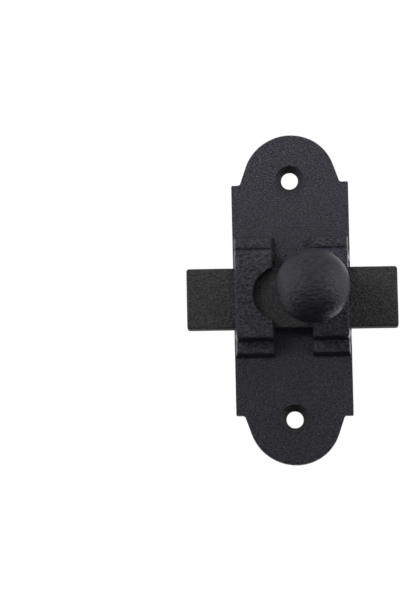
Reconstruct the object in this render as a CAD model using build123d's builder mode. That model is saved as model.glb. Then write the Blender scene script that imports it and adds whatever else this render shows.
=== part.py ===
from build123d import *
import os

os.makedirs("parts", exist_ok=True)

# A sliding bolt for a cupboard or shutter, in millimetres. A flat bar with a ball knob slides through two
# strap guides on a back plate. X runs along the bar, Z up the plate, and the plate's back face lies on Y = 0
# with its front towards -Y. The origin is on the back face, midway between the screw holes. The bar is drawn
# withdrawn.

# Back plate
plate_width = 43.0
plate_thickness = 3.0
plate_edge_chamfer = 0.3
shoulder_span = 86.8
shoulder_width = 3.1
shoulder_corner_radius = 1.0
arch_rise = 18.3
arch_flare = 1.45
arch_root_radius = 0.6
screw_spacing = 89.5
screw_hole_diameter = 6.2
screw_sink_diameter = 10.4
screw_sink_angle = 90

# Bolt bar
bar_length = 77.2
bar_height = 22.5
bar_thickness = 4.8
bar_corner_radius = 1.0
bar_edge_chamfer = 0.4

# Guides
guide_width = 13.9
guide_thickness = 3.2
guide_inset = 0.4
guide_bevel_width = 0.65
guide_bevel_depth = 2.0
guide_bend_radius = 1.2
guide_channel_radius = 0.5
guide_root_radius = 0.6
guide_edge_chamfer = 0.35
upper_foot_length = 5.6
lower_foot_length = 4.4
notch_radius = 10.0
notch_depth = 7.0
notch_corner_radius = 0.9
play_above_bar = 2.75
play_below_bar = 1.05
play_over_bar = 0.3

# Guide rivets, flush at both ends
rivet_diameter = 2.0
rivet_head_diameter = 3.0
rivet_sink_angle = 90
rivet_clearance = 0.04

# Knob
ball_diameter = 27.0
ball_clearance = 4.2
ball_neck_radius = 1.5
neck_diameter = 12.6
spigot_diameter = 6.0
spigot_clearance = 0.05
peen_diameter = 8.6
peen_thickness = 0.45
peen_clearance = 0.35
stop_clearance = 0.3

# Friction spring
spring_width = 9.0
spring_thickness = 0.4
spring_bend_radius = 8.0
spring_seat_length = 10.0
spring_edge_margin = 1.5
spring_tip_clearance = 0.2

# Heights above the plate's back face, towards the front
bar_back = plate_thickness + spring_thickness + peen_thickness + peen_clearance
bar_front = bar_back + bar_thickness
channel_top = bar_front + play_over_bar
guide_front = channel_top + guide_thickness
foot_front = plate_thickness + guide_thickness

# Places up the plate and along the bar
arch_root_width = plate_width - 2 * shoulder_width
arch_radius = arch_root_width / 2 - arch_flare
arch_center_z = shoulder_span / 2 + arch_rise - arch_radius
channel_height = bar_height + play_above_bar + play_below_bar
guide_height = channel_height + 2 * guide_thickness
guide_top = guide_height / 2 + upper_foot_length
guide_bottom = -guide_height / 2 - lower_foot_length
upper_rivet_z = (guide_height + upper_foot_length) / 2
lower_rivet_z = -(guide_height + lower_foot_length) / 2
bar_z = (play_below_bar - play_above_bar) / 2
guide_outer_x = plate_width / 2 - guide_inset
guide_inner_x = guide_outer_x - guide_width
guide_center_x = (guide_outer_x + guide_inner_x) / 2
guide_bevel_x = guide_outer_x - guide_bevel_width
notch_center_x = guide_inner_x + notch_depth - notch_radius
neck_play = notch_radius - neck_diameter / 2
knob_x = notch_center_x + (neck_play**2 - bar_z**2) ** 0.5 - stop_clearance
rivet_points = [(x, z) for z in (upper_rivet_z, lower_rivet_z) for x in (-guide_center_x, guide_center_x)]

# The back face, seen from behind
back_plane = Plane(origin=(0, 0, 0), x_dir=(-1, 0, 0), z_dir=(0, 1, 0))


# Back plate: cut from sheet, with shoulders, arched ends and softened front edges
with BuildPart() as backplate:
    with BuildSketch(Plane.XZ):
        Rectangle(arch_root_width, shoulder_span)
        with GridLocations(0, 2 * arch_center_z, 1, 2):
            Circle(arch_radius)
        make_hull()
        Rectangle(plate_width, shoulder_span)
        shoulder_line = vertices().filter_by(lambda v: abs(abs(v.Y) - shoulder_span / 2) < arch_root_radius)
        shoulder_line = shoulder_line.sort_by(lambda v: abs(v.X))
        fillet(shoulder_line[:4], arch_root_radius)
        fillet(shoulder_line[4:], shoulder_corner_radius)
    extrude(amount=plate_thickness)
    chamfer(faces().sort_by(Axis.Y)[0].edges(), plate_edge_chamfer)
    with Locations(Plane.XZ.offset(plate_thickness)):
        with GridLocations(0, screw_spacing, 1, 2):
            CounterSinkHole(
                radius=screw_hole_diameter / 2,
                counter_sink_radius=screw_sink_diameter / 2,
                counter_sink_angle=screw_sink_angle,
            )
    with Locations(back_plane):
        with Locations(*rivet_points):
            CounterSinkHole(
                radius=rivet_diameter / 2 + rivet_clearance,
                counter_sink_radius=rivet_head_diameter / 2 + rivet_clearance,
                counter_sink_angle=rivet_sink_angle,
            )
backplate.part.label = "backplate"
export_step(backplate.part, "parts/backplate.step")


# Guides: hat-shaped straps over the bar with a steep bevel along the outer end, each with a round notch in its
# inner edge where the knob's neck stops
for side, name in ((-1, "left_guide"), (1, "right_guide")):
    with BuildPart() as guide:
        for section_x, cut in ((guide_bevel_x, 0), (guide_outer_x, guide_bevel_depth)):
            section_root = guide_root_radius + cut
            section_bend = max(guide_bend_radius - cut, guide_channel_radius)
            with BuildSketch(Plane(origin=(side * section_x, 0, 0), x_dir=(0, -1, 0), z_dir=(-1, 0, 0))):
                with BuildLine():
                    front_line = FilletPolyline(
                        (foot_front - cut, guide_top),
                        (foot_front - cut, guide_height / 2 - cut),
                        (guide_front - cut, guide_height / 2 - cut),
                        (guide_front - cut, cut - guide_height / 2),
                        (foot_front - cut, cut - guide_height / 2),
                        (foot_front - cut, guide_bottom),
                        radius=[section_root, section_bend, section_bend, section_root],
                    )
                    back_line = FilletPolyline(
                        (plate_thickness, guide_top),
                        (plate_thickness, channel_height / 2),
                        (channel_top, channel_height / 2),
                        (channel_top, -channel_height / 2),
                        (plate_thickness, -channel_height / 2),
                        (plate_thickness, guide_bottom),
                        radius=guide_channel_radius,
                    )
                    Line(front_line @ 0, back_line @ 0)
                    Line(front_line @ 1, back_line @ 1)
                make_face()
        loft(ruled=True)
        full_section = faces().filter_by(Axis.X).sort_by(lambda f: abs(f.center().X))[0]
        extrude(full_section, amount=guide_bevel_x - guide_inner_x)
        with BuildSketch(Plane.XZ.offset(channel_top)):
            with Locations((side * notch_center_x, 0)):
                Circle(notch_radius)
        extrude(amount=guide_thickness, mode=Mode.SUBTRACT)
        notch_corners = edges().filter_by(Axis.Y).filter_by(
            lambda e: abs(e.center().X - side * guide_inner_x) < notch_corner_radius
            and abs(e.center().Z) < notch_radius
        )
        fillet(notch_corners, notch_corner_radius)
        raised_face = faces().filter_by(Axis.Y).sort_by(Axis.Y)[0]
        long_edges = raised_face.edges().filter_by(Axis.Z)
        inner_edges = long_edges.filter_by(lambda e: abs(e.center().X) < guide_center_x)
        foot_front_edges = edges().filter_by(Axis.X).filter_by_position(Axis.Y, -foot_front, -foot_front)
        foot_ends = foot_front_edges.filter_by(lambda e: not lower_rivet_z < e.center().Z < upper_rivet_z)
        chamfer(inner_edges + foot_ends, guide_edge_chamfer)
        with Locations(Plane.XZ.offset(foot_front)):
            with Locations((side * guide_center_x, upper_rivet_z), (side * guide_center_x, lower_rivet_z)):
                CounterSinkHole(
                    radius=rivet_diameter / 2 + rivet_clearance,
                    counter_sink_radius=rivet_head_diameter / 2 + rivet_clearance,
                    counter_sink_angle=rivet_sink_angle,
                )
    guide.part.label = name
    export_step(guide.part, f"parts/{name}.step")


# Guide rivets: closed into a countersink at both ends and dressed flush
head_depth = (rivet_head_diameter - rivet_diameter) / 2
for row, z in (("upper", upper_rivet_z), ("lower", lower_rivet_z)):
    for column, x in (("left", -guide_center_x), ("right", guide_center_x)):
        name = f"{row}_{column}_rivet"
        with BuildPart() as rivet:
            with BuildSketch(Plane(origin=(x, 0, z), x_dir=(1, 0, 0), z_dir=(0, 0, -1))):
                with BuildLine():
                    Polyline(
                        (0, 0),
                        (rivet_head_diameter / 2, 0),
                        (rivet_diameter / 2, head_depth),
                        (rivet_diameter / 2, foot_front - head_depth),
                        (rivet_head_diameter / 2, foot_front),
                        (0, foot_front),
                        close=True,
                    )
                make_face()
            revolve(axis=Axis((x, 0, z), (0, -1, 0)))
        rivet.part.label = name
        export_step(rivet.part, f"parts/{name}.step")


# Bolt bar: flat bar with softened edges, bored for the knob's spigot
with BuildPart() as bolt_bar:
    with BuildSketch(Plane.XZ.offset(bar_back)):
        with Locations((0, bar_z)):
            RectangleRounded(bar_length, bar_height, bar_corner_radius)
    extrude(amount=bar_thickness)
    chamfer(faces().filter_by(Axis.Y).edges(), bar_edge_chamfer)
    with Locations(Plane.XZ.offset(bar_front)):
        with Locations((knob_x, bar_z)):
            Hole(radius=spigot_diameter / 2 + spigot_clearance)
bolt_bar.part.label = "bolt_bar"
export_step(bolt_bar.part, "parts/bolt_bar.step")


# Knob: turned in one piece, a ball on a neck, with a spigot peened over behind the bar and the spring
ball_radius = ball_diameter / 2
neck_length = play_over_bar + guide_thickness + ball_clearance
ball_center = neck_length + (ball_radius**2 - (neck_diameter / 2) ** 2) ** 0.5
spigot_end = -bar_thickness - spring_thickness
with BuildPart() as knob:
    with BuildSketch(Plane(origin=(knob_x, -bar_front, bar_z), x_dir=(1, 0, 0), z_dir=(0, 0, -1))):
        with BuildLine():
            Polyline(
                (0, ball_center + ball_radius),
                (0, spigot_end - peen_thickness),
                (peen_diameter / 2, spigot_end - peen_thickness),
                (peen_diameter / 2, spigot_end),
                (spigot_diameter / 2, spigot_end),
                (spigot_diameter / 2, 0),
                (neck_diameter / 2, 0),
                (neck_diameter / 2, neck_length),
            )
            ThreePointArc(
                (neck_diameter / 2, neck_length),
                (ball_radius, ball_center),
                (0, ball_center + ball_radius),
            )
        make_face()
    revolve(axis=Axis((knob_x, 0, bar_z), (0, -1, 0)))
    ball_root = edges().filter_by_position(Axis.Y, -bar_front - neck_length, -bar_front - neck_length)
    fillet(ball_root, ball_neck_radius)
knob.part.label = "knob"
export_step(knob.part, "parts/knob.step")


# Friction spring: a strip clamped under the peened spigot, its two arms bowed towards the plate
spring_reach = plate_width / 2 - knob_x - spring_edge_margin
tip_y = -plate_thickness - spring_tip_clearance - spring_thickness
with BuildPart() as friction_spring:
    with BuildSketch(Plane.XY.offset(bar_z - spring_width / 2)):
        with BuildLine():
            bar_side = FilletPolyline(
                (knob_x - spring_reach, tip_y),
                (knob_x - spring_seat_length / 2, -bar_back),
                (knob_x + spring_seat_length / 2, -bar_back),
                (knob_x + spring_reach, tip_y),
                radius=spring_bend_radius,
            )
            plate_side = FilletPolyline(
                (knob_x - spring_reach, tip_y + spring_thickness),
                (knob_x - spring_seat_length / 2, spring_thickness - bar_back),
                (knob_x + spring_seat_length / 2, spring_thickness - bar_back),
                (knob_x + spring_reach, tip_y + spring_thickness),
                radius=spring_bend_radius,
            )
            Line(bar_side @ 0, plate_side @ 0)
            Line(bar_side @ 1, plate_side @ 1)
        make_face()
    extrude(amount=spring_width)
    with Locations(Plane.XZ.offset(bar_back)):
        with Locations((knob_x, bar_z)):
            Hole(radius=spigot_diameter / 2 + spigot_clearance)
friction_spring.part.label = "friction_spring"
export_step(friction_spring.part, "parts/friction_spring.step")
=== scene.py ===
import math

import bmesh
import bpy
from mathutils import Matrix, Vector, noise


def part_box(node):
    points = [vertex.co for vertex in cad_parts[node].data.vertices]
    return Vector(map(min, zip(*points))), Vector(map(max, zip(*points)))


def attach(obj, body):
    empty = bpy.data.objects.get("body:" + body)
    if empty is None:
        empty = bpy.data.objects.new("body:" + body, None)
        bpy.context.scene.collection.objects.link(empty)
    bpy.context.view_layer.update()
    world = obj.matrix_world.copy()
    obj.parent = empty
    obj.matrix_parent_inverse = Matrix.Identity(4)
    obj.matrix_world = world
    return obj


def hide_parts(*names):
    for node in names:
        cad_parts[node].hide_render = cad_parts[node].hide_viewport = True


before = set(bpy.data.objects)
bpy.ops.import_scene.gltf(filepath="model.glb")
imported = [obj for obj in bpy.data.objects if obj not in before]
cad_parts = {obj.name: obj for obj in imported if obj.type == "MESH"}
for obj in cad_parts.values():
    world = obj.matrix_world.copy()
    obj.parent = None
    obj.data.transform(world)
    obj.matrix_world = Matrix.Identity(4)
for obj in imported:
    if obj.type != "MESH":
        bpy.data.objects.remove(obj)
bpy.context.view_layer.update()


# Back plate: sheet iron with arched ends and square shoulders, sawn and filed to its outline, with two
# countersunk screw holes. The black paint is baked on, rounds every arris and dries with a fine orange
# peel, and the hammered sheet under it is never quite flat or square.
MM = 0.001
MERGE_DISTANCE = 0.001 * MM
ROUNDING_PASSES = 2
ROUNDING_FACTOR = 0.5
PLATE_VOXEL = 0.35 * MM
PLATE_WAVE = (7.0 * MM, 0.05 * MM)
PLATE_PEEL = (0.95 * MM, 0.02 * MM)
PLATE_FAN = 0.43
PLATE_TAPER = 0.085
HOLE_SPACING = 89.5 * MM
SINK_RADIUS = 5.2 * MM
SINK_WIDTH = 2.1 * MM
SINK_FLOOR = -0.9 * MM
SINK_EXTRA_SLOPE = 0.38
BURR_WIDTH = 0.75 * MM
BURR_HEIGHT = 0.5 * MM
BACK_FACING = 0.5
# Plate black, with a paler tone painted on the crests of the peel as painted light.
PLATE_BLACK = "#28272e"
PLATE_BLACK_LIT_CREST = "#4c4b55"
PEEL_PITS_TO_CRESTS = (0.35, 0.65)
GRAIN_SPREAD = (0.3, 0.7)


def linear(hex_colour):
    """An sRGB hex colour as the linear RGBA that a shader takes."""
    shares = [int(hex_colour[i : i + 2], 16) / 255 for i in (1, 3, 5)]
    return [s / 12.92 if s <= 0.04045 else ((s + 0.055) / 1.055) ** 2.4 for s in shares] + [1.0]


def add(tree, kind, links=(), **settings):
    """A new node in the tree: settings are its sockets' values or its own properties, links its sources."""
    node = tree.nodes.new(kind)
    for name, value in settings.items():
        socket = node.inputs.get(name.replace("_", " ").title())
        if socket is not None and not hasattr(node, name):
            socket.default_value = value
        else:
            setattr(node, name, value)
    for socket, source in links:
        tree.links.new(source, node.inputs[socket])
    return node


def merged_copy(node_name):
    """A bmesh copy of a node's solid with its loose triangles joined."""
    copy = bmesh.new()
    copy.from_mesh(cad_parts[node_name].data)
    bmesh.ops.remove_doubles(copy, verts=copy.verts, dist=MERGE_DISTANCE)
    return copy


def iron_skin(piece_name, solid, voxel):
    """A fine closed skin over a solid, with its arrises rounded as paint rounds them."""
    rough_mesh = bpy.data.meshes.new(piece_name)
    solid.to_mesh(rough_mesh)
    solid.free()
    rough = bpy.data.objects.new(piece_name + "_rough", rough_mesh)
    bpy.context.scene.collection.objects.link(rough)
    remesh = rough.modifiers.new("skin", "REMESH")
    remesh.mode = "VOXEL"
    remesh.voxel_size = voxel
    skinned = rough.evaluated_get(bpy.context.evaluated_depsgraph_get())
    skin = bmesh.new()
    skin.from_mesh(skinned.to_mesh())
    bpy.data.objects.remove(rough)
    for _ in range(ROUNDING_PASSES):
        bmesh.ops.smooth_vert(
            skin, verts=skin.verts, factor=ROUNDING_FACTOR,
            use_axis_x=True, use_axis_y=True, use_axis_z=True,
        )
    return skin


def raise_grain(skin, *waves, on_edges=0.3):
    """Moves each point along its normal by noise of each (wavelength, height), in metres. The sawn edges,
    which face away from front and back, take only their share of it."""
    skin.normal_update()
    lifts = [
        sum(height * noise.noise(v.co / length) for length, height in waves)
        * (on_edges + (1 - on_edges) * abs(v.normal.y))
        for v in skin.verts
    ]
    for vert, lift in zip(skin.verts, lifts):
        vert.co += vert.normal * lift


def piece_from(skin, piece_name, *materials):
    """The finished object at the origin, smooth shaded, with its materials."""
    mesh = bpy.data.meshes.new(piece_name)
    skin.to_mesh(mesh)
    skin.free()
    mesh.shade_smooth()
    for material in materials:
        mesh.materials.append(material)
    piece = bpy.data.objects.new(piece_name, mesh)
    bpy.context.scene.collection.objects.link(piece)
    return piece


def satin_black_paint(
    name, deep, lit_crest, peel, grain, peel_height, grain_height, smooth, rough, stretch=(0.4, 1, 1)
):
    """Baked black paint on iron: dark with a soft sheen, an orange peel and a finer grain in the coat. Its
    colour is painted darker in the pits of the peel and paler on its crests, as painted shade and light on
    the relief, and the sheen breaks up with the grain. The real grain is about 0.2 mm, too fine for the
    render, so it is drawn coarser and deeper than it is. A stretch under 1 draws the pattern out along that
    axis."""
    material = bpy.data.materials.new(name)
    material.use_nodes = True
    tree = material.node_tree
    shader = tree.nodes["Principled BSDF"]
    place = add(tree, "ShaderNodeTexCoord").outputs["Object"]
    drawn = add(tree, "ShaderNodeMapping", [("Vector", place)], scale=stretch).outputs["Vector"]
    peel_noise = add(tree, "ShaderNodeTexNoise", [("Vector", drawn)], scale=1 / peel, detail=2.0)
    grain_noise = add(tree, "ShaderNodeTexNoise", [("Vector", drawn)], scale=1 / grain, detail=3.0)
    crest = add(
        tree, "ShaderNodeMapRange", [("Value", peel_noise.outputs["Fac"])],
        from_min=PEEL_PITS_TO_CRESTS[0], from_max=PEEL_PITS_TO_CRESTS[1], to_min=0.0, to_max=1.0,
    )
    # The colour runs from pit to crest: painted shade in the pits of the peel, painted light on its crests.
    tint = add(tree, "ShaderNodeMix", [("Factor", crest.outputs["Result"])], data_type="RGBA")
    # A Mix node's colours are its sockets 6 and 7, and its output 2.
    tint.inputs[6].default_value = linear(deep)
    tint.inputs[7].default_value = linear(lit_crest)
    sheen = add(
        tree, "ShaderNodeMapRange", [("Value", grain_noise.outputs["Fac"])],
        from_min=GRAIN_SPREAD[0], from_max=GRAIN_SPREAD[1], to_min=smooth, to_max=rough,
    )
    peel_bump = add(tree, "ShaderNodeBump", [("Height", peel_noise.outputs["Fac"])], distance=peel_height)
    grain_bump = add(
        tree, "ShaderNodeBump",
        [("Height", grain_noise.outputs["Fac"]), ("Normal", peel_bump.outputs["Normal"])],
        distance=grain_height,
    )
    tree.links.new(tint.outputs[2], shader.inputs["Base Color"])
    tree.links.new(sheen.outputs["Result"], shader.inputs["Roughness"])
    tree.links.new(grain_bump.outputs["Normal"], shader.inputs["Normal"])
    return material


# Over the sheet the coat is even: a fine grain with short level ripples and a soft, broken sheen.
plate_paint = satin_black_paint(
    "satin_black_paint_on_sheet_iron", PLATE_BLACK, PLATE_BLACK_LIT_CREST,
    peel=0.43 * MM, grain=0.35 * MM, peel_height=1.6 * MM, grain_height=0.1 * MM,
    smooth=0.38, rough=0.54, stretch=(0.55, 1, 1),
)
# In the countersinks, on inner edges and on undersides, a nearly black, matt paint stands in as painted
# shade.
near_black_painted_shade = satin_black_paint(
    "matt_black_painted_shade_on_inner_edge", "#17161a", "#29282d",
    peel=0.9 * MM, grain=0.4 * MM, peel_height=0.3 * MM, grain_height=0.1 * MM, smooth=0.55, rough=0.7,
)
plate_skin = iron_skin("plate", merged_copy("backplate"), PLATE_VOXEL)
raise_grain(plate_skin, PLATE_WAVE, PLATE_PEEL)
for vert in plate_skin.verts:
    x, z = vert.co.x, vert.co.z
    from_rim = math.hypot(x, abs(z) - HOLE_SPACING / 2) - SINK_RADIUS
    off_back = min(1.0, max(0.0, vert.co.y / SINK_FLOOR))
    # Each countersink is cut steeper than in the solid, and the cutter leaves a burr around its rim.
    vert.co.y += off_back * SINK_EXTRA_SLOPE * min(SINK_WIDTH, max(0.0, -from_rim))
    vert.co.y -= off_back * BURR_HEIGHT * max(0.0, 1 - abs(from_rim) / BURR_WIDTH)
    # The sheet tapers downwards and its shoulders fan out to the right, by shares per metre.
    vert.co.x, vert.co.z = x * (1 + PLATE_TAPER * z), z * (1 + PLATE_FAN * x)
plate_skin.normal_update()
# The second paint, painted shade, goes on what lies inside the countersinks' rims and doesn't face the back.
for face in plate_skin.faces:
    middle = face.calc_center_median()
    from_rim = math.hypot(middle.x, abs(middle.z) - HOLE_SPACING / 2) - SINK_RADIUS
    face.material_index = int(from_rim < 0 and face.normal.y < BACK_FACING)
plate = piece_from(plate_skin, "painted_plate", plate_paint, near_black_painted_shade)
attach(plate, "plate")
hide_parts("backplate")


# Guides: two hat-shaped iron straps forged over the bar, each with a round notch filed in its inner edge.
# They are riveted through their feet, and the paint hides the rivets' heads. The forging leaves them
# lumpier than the sheet, with splayed feet, flared walls and a relief groove across each upper foot.
GUIDE_VOXEL = 0.27 * MM
GUIDE_WAVE = (5.0 * MM, 0.07 * MM)
GUIDE_LUMPS = (1.7 * MM, 0.13 * MM)
HEAD_COVER = 0.7 * MM
HEAD_COVER_SPREAD = 1.1
HEAD_COVER_SIDES = 32
FOOT_LENGTH = 4.4 * MM
FOOT_SPLAY = 1.4 * MM
FOOT_SPLAY_LENGTH = 1.6 * MM
WALL_FLARE = {"left": 0.145, "right": 0.11}
END_BEVEL = (0.65 * MM, 2.0 * MM)
LEG_ROOT = 0.9 * MM
GROOVE_RISE = 1.6 * MM
GROOVE_WIDTH = 0.5 * MM
GROOVE_DEPTH = 0.9 * MM
INNER_EDGE_FACING = 0.4
UNDERSIDE_FACING = 0.8
SAWN_END_FACING = 0.6

# On the forged faces the coat follows the hammer marks, so the grain is coarse and deep.
guide_paint = satin_black_paint(
    "satin_black_paint_on_forged_strap", "#27262c", "#43424b",
    peel=0.85 * MM, grain=0.4 * MM, peel_height=1.8 * MM, grain_height=0.3 * MM,
    smooth=0.42, rough=0.58, stretch=(0.7, 1, 1),
)
# On the smooth sawn ends it flows out and shines, so that they catch the light as pale bands.
sawn_end_paint = satin_black_paint(
    "semi_gloss_black_paint_on_sawn_end", PLATE_BLACK, PLATE_BLACK_LIT_CREST,
    peel=0.9 * MM, grain=0.4 * MM, peel_height=0.05 * MM, grain_height=0.02 * MM, smooth=0.22, rough=0.32,
)
strap_paints = (guide_paint, sawn_end_paint, near_black_painted_shade)
for side, inward in (("left", 1), ("right", -1)):
    strap = merged_copy(f"{side}_guide")
    for row in ("upper", "lower"):
        low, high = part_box(f"{row}_{side}_rivet")
        cover_radius = HEAD_COVER_SPREAD * (high.x - low.x) / 2
        cover_place = Vector(((low.x + high.x) / 2, low.y + HEAD_COVER / 2, (low.z + high.z) / 2))
        bmesh.ops.create_cone(
            strap, cap_ends=True, segments=HEAD_COVER_SIDES, radius1=cover_radius, radius2=cover_radius,
            depth=HEAD_COVER, matrix=Matrix.Translation(cover_place) @ Matrix.Rotation(math.pi / 2, 4, "X"),
        )
    strap_skin = iron_skin(f"{side}_strap", strap, GUIDE_VOXEL)
    raise_grain(strap_skin, GUIDE_WAVE, GUIDE_LUMPS)
    low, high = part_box(f"{side}_guide")
    foot_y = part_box(f"lower_{side}_rivet")[0].y
    leg_z = min(-low.z, high.z) - FOOT_LENGTH
    for vert in strap_skin.verts:
        # The groove runs across the upper foot, and fades towards the plate.
        off_groove = (vert.co.z - leg_z - GROOVE_RISE) / GROOVE_WIDTH
        off_plate = min(1.0, max(0.0, (high.y - vert.co.y) / (high.y - foot_y)))
        vert.co.y += off_plate * GROOVE_DEPTH * math.exp(-(off_groove**2))
        # The ends of the feet splay where they meet the plate.
        to_end = min(vert.co.z - low.z, high.z - vert.co.z)
        splay = max(0.0, 1 - to_end / FOOT_SPLAY_LENGTH) * (vert.co.y - foot_y) / (high.y - foot_y)
        vert.co.z += math.copysign(FOOT_SPLAY * splay, vert.co.z)
        # The right-hand walls flare towards the plate, from the front of the leg or of the foot. On the
        # right guide the flare takes the place of the bevel that the solid has there.
        on_foot = min(1.0, max(0.0, (abs(vert.co.z) - leg_z) / LEG_ROOT))
        depth = max(0.0, vert.co.y - low.y - on_foot * (foot_y - low.y))
        flare = WALL_FLARE[side] * depth * (1 + on_foot)
        if side == "right":
            flare -= END_BEVEL[0] * min(1.0, depth / END_BEVEL[1])
        vert.co.x += flare * (vert.co.x - low.x) / (high.x - low.x)
    strap_skin.normal_update()
    # Inner walls and downward faces take the near-black paint as painted shade; the sawn outer ends take the
    # shiny paint.
    for face in strap_skin.faces:
        if inward * face.normal.x > INNER_EDGE_FACING or face.normal.z < -UNDERSIDE_FACING:
            face.material_index = strap_paints.index(near_black_painted_shade)
        elif inward * face.normal.x < -SAWN_END_FACING:
            face.material_index = strap_paints.index(sawn_end_paint)
    guide = piece_from(strap_skin, f"painted_{side}_guide", *strap_paints)
    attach(guide, "plate")
    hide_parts(f"{side}_guide")


# Guide rivets: iron, countersunk at both ends. Their tails are hammered into the back of the plate and
# dressed flush with it, and the same paint leaves a faint ring around each.
RIVET_SHANK = 1.0 * MM
RIVET_HEAD_GAP = 0.3 * MM
RIVET_STEPS = 48
RIVET_TAIL_ROUND = 0.35 * MM
RIVET_ROUND_STEPS = 3

for row in ("upper", "lower"):
    for side in ("left", "right"):
        low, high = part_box(f"{row}_{side}_rivet")
        axis_x, axis_z = (low.x + high.x) / 2, (low.z + high.z) / 2
        tail_radius = (high.x - low.x) / 2
        tail_y = high.y - (tail_radius - RIVET_SHANK)
        end_y = low.y + HEAD_COVER + RIVET_HEAD_GAP
        turned = bmesh.new()
        outline = [
            (0, high.y), (tail_radius, high.y), (RIVET_SHANK, tail_y), (RIVET_SHANK, end_y), (0, end_y),
        ]
        points = [turned.verts.new((axis_x + radius, y, axis_z)) for radius, y in outline]
        for pair in zip(points, points[1:]):
            turned.edges.new(pair)
        bmesh.ops.bevel(
            turned, geom=[points[1]], affect="VERTICES", offset=RIVET_TAIL_ROUND,
            segments=RIVET_ROUND_STEPS, profile=0.5, material=-1,
        )
        bmesh.ops.spin(
            turned, geom=turned.verts[:] + turned.edges[:], cent=(axis_x, 0, axis_z), axis=(0, 1, 0),
            angle=2 * math.pi, steps=RIVET_STEPS, use_merge=True,
        )
        bmesh.ops.remove_doubles(turned, verts=turned.verts, dist=MERGE_DISTANCE)
        bmesh.ops.recalc_face_normals(turned, faces=turned.faces)
        rivet = piece_from(turned, f"{row}_{side}_flush_rivet", plate_paint)
        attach(rivet, "plate")
        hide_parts(f"{row}_{side}_rivet")


# Bolt bar: flat iron bar that slides through the guides, drawn smooth and painted thinly. Its nose is
# square, with eased corners, and its right end lies a little lower than its left, in the guides' play.
BAR_VOXEL = 0.32 * MM
BAR_WAVE = (9.0 * MM, 0.035 * MM)
BAR_PEEL = (1.3 * MM, 0.012 * MM)
BAR_LEAN = 0.0072

# Thin paint on drawn iron: a more neutral black than the plate's, with an even grain and a dull sheen.
bar_paint = satin_black_paint(
    "thin_satin_black_paint_on_bar", "#2d2d2d", "#434343",
    peel=0.55 * MM, grain=0.35 * MM, peel_height=1.3 * MM, grain_height=0.15 * MM,
    smooth=0.45, rough=0.6, stretch=(0.7, 1, 1),
)
bar_skin = iron_skin("bar", merged_copy("bolt_bar"), BAR_VOXEL)
raise_grain(bar_skin, BAR_WAVE, BAR_PEEL)
for vert in bar_skin.verts:
    vert.co.z -= BAR_LEAN * vert.co.x
bar = piece_from(bar_skin, "painted_bolt_bar", bar_paint)
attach(bar, "bolt")
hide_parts("bolt_bar")


# Friction spring: a strip of hardened spring steel clamped behind the bar by the knob's spigot, which drags
# on the plate and keeps the bar where it is put. It is left as its heat treatment leaves it.
ROLLING_LINE = 0.4 * MM
ROLLING_STRETCH = (0.05, 1.0, 1.0)
LINE_SPREAD = (0.3, 0.7)
SPRING_ROUGHNESS = (0.28, 0.45)

# Blued spring steel: a dark blue-grey metal with rolling lines along it, the paler ones duller. The real
# lines are under 0.1 mm apart, too fine for the render, so they are drawn coarser.
spring_steel = bpy.data.materials.new("blued_spring_steel")
spring_steel.use_nodes = True
tree = spring_steel.node_tree
shader = tree.nodes["Principled BSDF"]
shader.inputs["Metallic"].default_value = 1.0
place = add(tree, "ShaderNodeTexCoord").outputs["Object"]
along = add(tree, "ShaderNodeMapping", [("Vector", place)], scale=ROLLING_STRETCH).outputs["Vector"]
lines = add(tree, "ShaderNodeTexNoise", [("Vector", along)], scale=1 / ROLLING_LINE, detail=2.0)
oxide = add(tree, "ShaderNodeValToRGB", [("Fac", lines.outputs["Fac"])])
for stop, position, colour in zip(oxide.color_ramp.elements, LINE_SPREAD, ("#2c3038", "#4a4f5a")):
    stop.position = position
    stop.color = linear(colour)
polish = add(
    tree, "ShaderNodeMapRange", [("Value", lines.outputs["Fac"])],
    from_min=LINE_SPREAD[0], from_max=LINE_SPREAD[1], to_min=SPRING_ROUGHNESS[0], to_max=SPRING_ROUGHNESS[1],
)
tree.links.new(oxide.outputs["Color"], shader.inputs["Base Color"])
tree.links.new(polish.outputs["Result"], shader.inputs["Roughness"])
spring_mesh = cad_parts["friction_spring"].data
spring_mesh.materials.clear()
spring_mesh.materials.append(spring_steel)


# Knob: iron, turned in one piece, a ball on a short neck, with a spigot through the bar that is peened over
# behind it. It is painted with the rest, and wears smoother because it is handled.
BALL_RADIUS = 13.5 * MM
BALL_STEPS = 96
NECK_RADIUS = 6.3 * MM
NECK_FILLET = 1.5 * MM
NECK_STEPS = 8
SPIGOT_RADIUS = 3.0 * MM
PEEN_RADIUS = 4.3 * MM
PEEN_THICKNESS = 0.45 * MM
KNOB_STEPS = 192
BALL_WAVE = (6.0 * MM, 0.05 * MM)
BALL_PEEL = (1.5 * MM, 0.03 * MM)

# Handled paint on the ball: smoother and shinier than the rest, with shallow dents that break up its gloss.
knob_paint = satin_black_paint(
    "semi_gloss_black_paint_on_turned_ball", "#232227", "#34333a",
    peel=0.75 * MM, grain=0.45 * MM, peel_height=0.4 * MM, grain_height=0.1 * MM,
    smooth=0.27, rough=0.38, stretch=(0.4, 0.7, 1),
)
low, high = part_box("knob")
axis_x, axis_z = (low.x + high.x) / 2, (low.z + high.z) / 2
ball_y = low.y + BALL_RADIUS
bar_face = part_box("bolt_bar")[0].y
fillet_x = NECK_RADIUS + NECK_FILLET
fillet_y = ball_y + math.sqrt((BALL_RADIUS + NECK_FILLET) ** 2 - fillet_x**2)
root_angle = math.asin(fillet_x / (BALL_RADIUS + NECK_FILLET))
turned = bmesh.new()
front_point = turned.verts.new((axis_x, low.y, axis_z))
ball_line = bmesh.ops.spin(
    turned, geom=[front_point], cent=(axis_x, ball_y, axis_z), axis=(0, 0, 1),
    angle=math.pi - root_angle, steps=BALL_STEPS,
)
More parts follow.
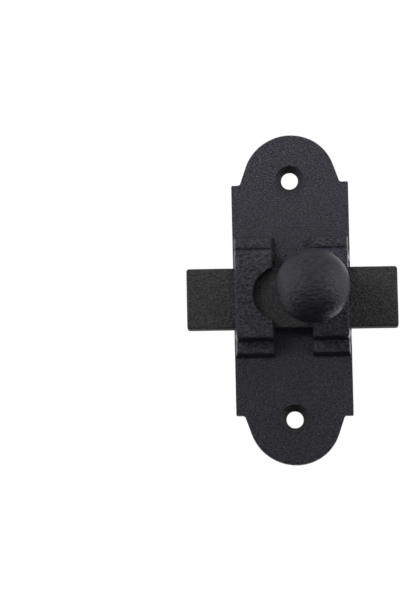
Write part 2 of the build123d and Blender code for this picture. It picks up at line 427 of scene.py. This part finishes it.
fillet_line = bmesh.ops.spin(
    turned, geom=ball_line["geom_last"], cent=(axis_x + fillet_x, fillet_y, axis_z), axis=(0, 0, 1),
    angle=root_angle - math.pi / 2, steps=NECK_STEPS,
)
shank = [
    (NECK_RADIUS, bar_face), (SPIGOT_RADIUS, bar_face), (SPIGOT_RADIUS, high.y - PEEN_THICKNESS),
    (PEEN_RADIUS, high.y - PEEN_THICKNESS), (PEEN_RADIUS, high.y), (0, high.y),
]
points = [v for v in fillet_line["geom_last"] if isinstance(v, bmesh.types.BMVert)]
points += [turned.verts.new((axis_x + radius, y, axis_z)) for radius, y in shank]
for pair in zip(points, points[1:]):
    turned.edges.new(pair)
bmesh.ops.spin(
    turned, geom=turned.verts[:] + turned.edges[:], cent=(axis_x, 0, axis_z), axis=(0, 1, 0),
    angle=2 * math.pi, steps=KNOB_STEPS, use_merge=True,
)
bmesh.ops.remove_doubles(turned, verts=turned.verts, dist=MERGE_DISTANCE)
bmesh.ops.recalc_face_normals(turned, faces=turned.faces)
raise_grain(turned, BALL_WAVE, BALL_PEEL, on_edges=1.0)
knob = piece_from(turned, "painted_knob", knob_paint)
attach(knob, "bolt")
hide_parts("knob")


# Floor: a plain pale studio floor, well below the bolt. It is white to the camera and throws no light back
# at the bolt.
FLOOR_DROP = 0.75
FLOOR_SIZE = 6.0

floor_mesh = bmesh.new()
bmesh.ops.create_grid(
    floor_mesh, x_segments=1, y_segments=1, size=FLOOR_SIZE / 2,
    matrix=Matrix.Translation((0, 0, -FLOOR_DROP)),
)
# Matt white floor paint: an even, near-white ground.
floor_paint = bpy.data.materials.new("pale_studio_floor")
floor_paint.use_nodes = True
tree = floor_paint.node_tree
shader = tree.nodes["Principled BSDF"]
shader.inputs["Base Color"].default_value = linear("#f4f4f4")
shader.inputs["Roughness"].default_value = 0.8
shader.inputs["Emission Color"].default_value = linear("#ffffff")
tree.links.new(
    add(tree, "ShaderNodeLightPath").outputs["Is Camera Ray"], shader.inputs["Emission Strength"]
)
floor = piece_from(floor_mesh, "floor", floor_paint)
floor.visible_diffuse = False
floor.visible_glossy = False


# Studio: a tent of soft light, dim in front, bright at the sides, dark below and brighter on the right. To
# the camera it is plain white, and so is what the gloss shows from behind the bolt, less so low down and on
# the left. Limits are parts of a unit direction: X to the right, Y away behind the bolt, Z up.
TENT_FRONT, TENT_FRONT_LIGHT = 0.5, 0.38
TENT_SIDE, TENT_SIDE_LIGHT = 0.95, 0.88
TENT_FLOOR = (-0.6, -0.35)
TENT_FLOOR_SHARE = 0.08
TENT_BACK = (-0.1, 0.5)
TENT_BACK_SHARE = 0.6
TENT_ENDS = (-0.9, 0.9)
TENT_END_SHARES = (0.85, 1.2)
WHITE_BEHIND = (0.55, 0.9)
WHITE_LOW = (-0.7, -0.3)
WHITE_LOW_SHARE = 0.7
WHITE_LEFT = (-0.3, 0.3)
WHITE_LEFT_SHARE = 0.75

studio = bpy.data.worlds.new("white_studio")
bpy.context.scene.world = studio
studio.use_nodes = True
tree = studio.node_tree
way = add(tree, "ShaderNodeTexCoord").outputs["Generated"]
axes = add(tree, "ShaderNodeSeparateXYZ", [("Vector", way)]).outputs
ray = add(tree, "ShaderNodeLightPath").outputs
aside = add(tree, "ShaderNodeMath", [(0, axes["X"])], operation="ABSOLUTE").outputs[0]
tent = add(
    tree, "ShaderNodeMapRange", [("Value", aside)], interpolation_type="SMOOTHSTEP",
    from_min=TENT_FRONT, from_max=TENT_SIDE, to_min=TENT_FRONT_LIGHT, to_max=TENT_SIDE_LIGHT,
).outputs["Result"]
for axis, curve, limits, shares in (
    ("Z", "SMOOTHSTEP", TENT_FLOOR, (TENT_FLOOR_SHARE, 1.0)),
    ("X", "LINEAR", TENT_ENDS, TENT_END_SHARES),
    ("Y", "SMOOTHSTEP", TENT_BACK, (1.0, TENT_BACK_SHARE)),
):
    share = add(
        tree, "ShaderNodeMapRange", [("Value", axes[axis])], interpolation_type=curve,
        from_min=limits[0], from_max=limits[1], to_min=shares[0], to_max=shares[1],
    ).outputs["Result"]
    tent = add(tree, "ShaderNodeMath", [(0, tent), (1, share)], operation="MULTIPLY").outputs[0]
in_gloss = ray["Is Glossy Ray"]
for axis, limits, first_share in (
    ("Y", WHITE_BEHIND, 0.0), ("Z", WHITE_LOW, WHITE_LOW_SHARE), ("X", WHITE_LEFT, WHITE_LEFT_SHARE),
):
    share = add(
        tree, "ShaderNodeMapRange", [("Value", axes[axis])],
        from_min=limits[0], from_max=limits[1], to_min=first_share, to_max=1.0,
    ).outputs["Result"]
    in_gloss = add(tree, "ShaderNodeMath", [(0, in_gloss), (1, share)], operation="MULTIPLY").outputs[0]
white = in_gloss
for kind in ("Is Camera Ray", "Is Transmission Ray"):
    white = add(tree, "ShaderNodeMath", [(0, white), (1, ray[kind])], operation="MAXIMUM").outputs[0]
strength = add(tree, "ShaderNodeMix", [("Factor", white), ("A", tent)], b=1.0)
backdrop = tree.nodes["Background"]
backdrop.inputs["Color"].default_value = linear("#ffffff")
tree.links.new(strength.outputs["Result"], backdrop.inputs["Strength"])


# Lamps: two soft boxes with grids, a main one high on the left and a weak one on the right. They model the
# relief, and don't show in the gloss.
LAMP_AIM = Vector((0.0, 0.0, 0.12))
LAMP_SIZE = 0.25
LAMP_SPREAD = math.radians(40)

for name, place, power in (
    ("left_gridded_softbox", Vector((-0.27, -0.32, 0.22)), 0.21),
    ("right_gridded_softbox", Vector((0.32, -0.32, 0.1)), 0.05),
):
    lamp = bpy.data.lights.new(name, "AREA")
    lamp.size = LAMP_SIZE
    lamp.spread = LAMP_SPREAD
    lamp.energy = power
    softbox = bpy.data.objects.new(name, lamp)
    softbox.location = place
    softbox.rotation_euler = (LAMP_AIM - place).to_track_quat("-Z", "Y").to_euler()
    softbox.visible_glossy = False
    bpy.context.scene.collection.objects.link(softbox)


# Camera: a long lens, nearly square on from left to right, that looks up at the bolt by about 12 degrees and
# is rolled by about one.
EYE_DISTANCE = 1.5
EYE_AZIMUTH = math.radians(-0.28)
EYE_ELEVATION = math.radians(-11.66)
EYE_ROLL = math.radians(-1.1)
AIM = Vector((-0.03373, 0.0, 0.0006))
LENS = 244.4
SENSOR_WIDTH = 36.0
CLIP_START = 0.01

eye = EYE_DISTANCE * Vector((
    math.sin(EYE_AZIMUTH) * math.cos(EYE_ELEVATION),
    -math.cos(EYE_AZIMUTH) * math.cos(EYE_ELEVATION),
    math.sin(EYE_ELEVATION),
))
forward = (AIM - eye).normalized()
right = forward.cross(Vector((0, 0, 1))).normalized()
up = right.cross(forward)
rolled_right = right * math.cos(EYE_ROLL) + up * math.sin(EYE_ROLL)
rolled_up = up * math.cos(EYE_ROLL) - right * math.sin(EYE_ROLL)
turn = Matrix((rolled_right, rolled_up, -forward)).transposed().to_4x4()
camera_data = bpy.data.cameras.new("long_lens")
camera_data.lens = LENS
camera_data.sensor_width = SENSOR_WIDTH
camera_data.clip_start = CLIP_START
camera = bpy.data.objects.new("long_lens", camera_data)
camera.matrix_world = Matrix.Translation(eye) @ turn
bpy.context.scene.collection.objects.link(camera)
bpy.context.scene.camera = camera
bpy.context.scene.view_settings.view_transform = "Standard"
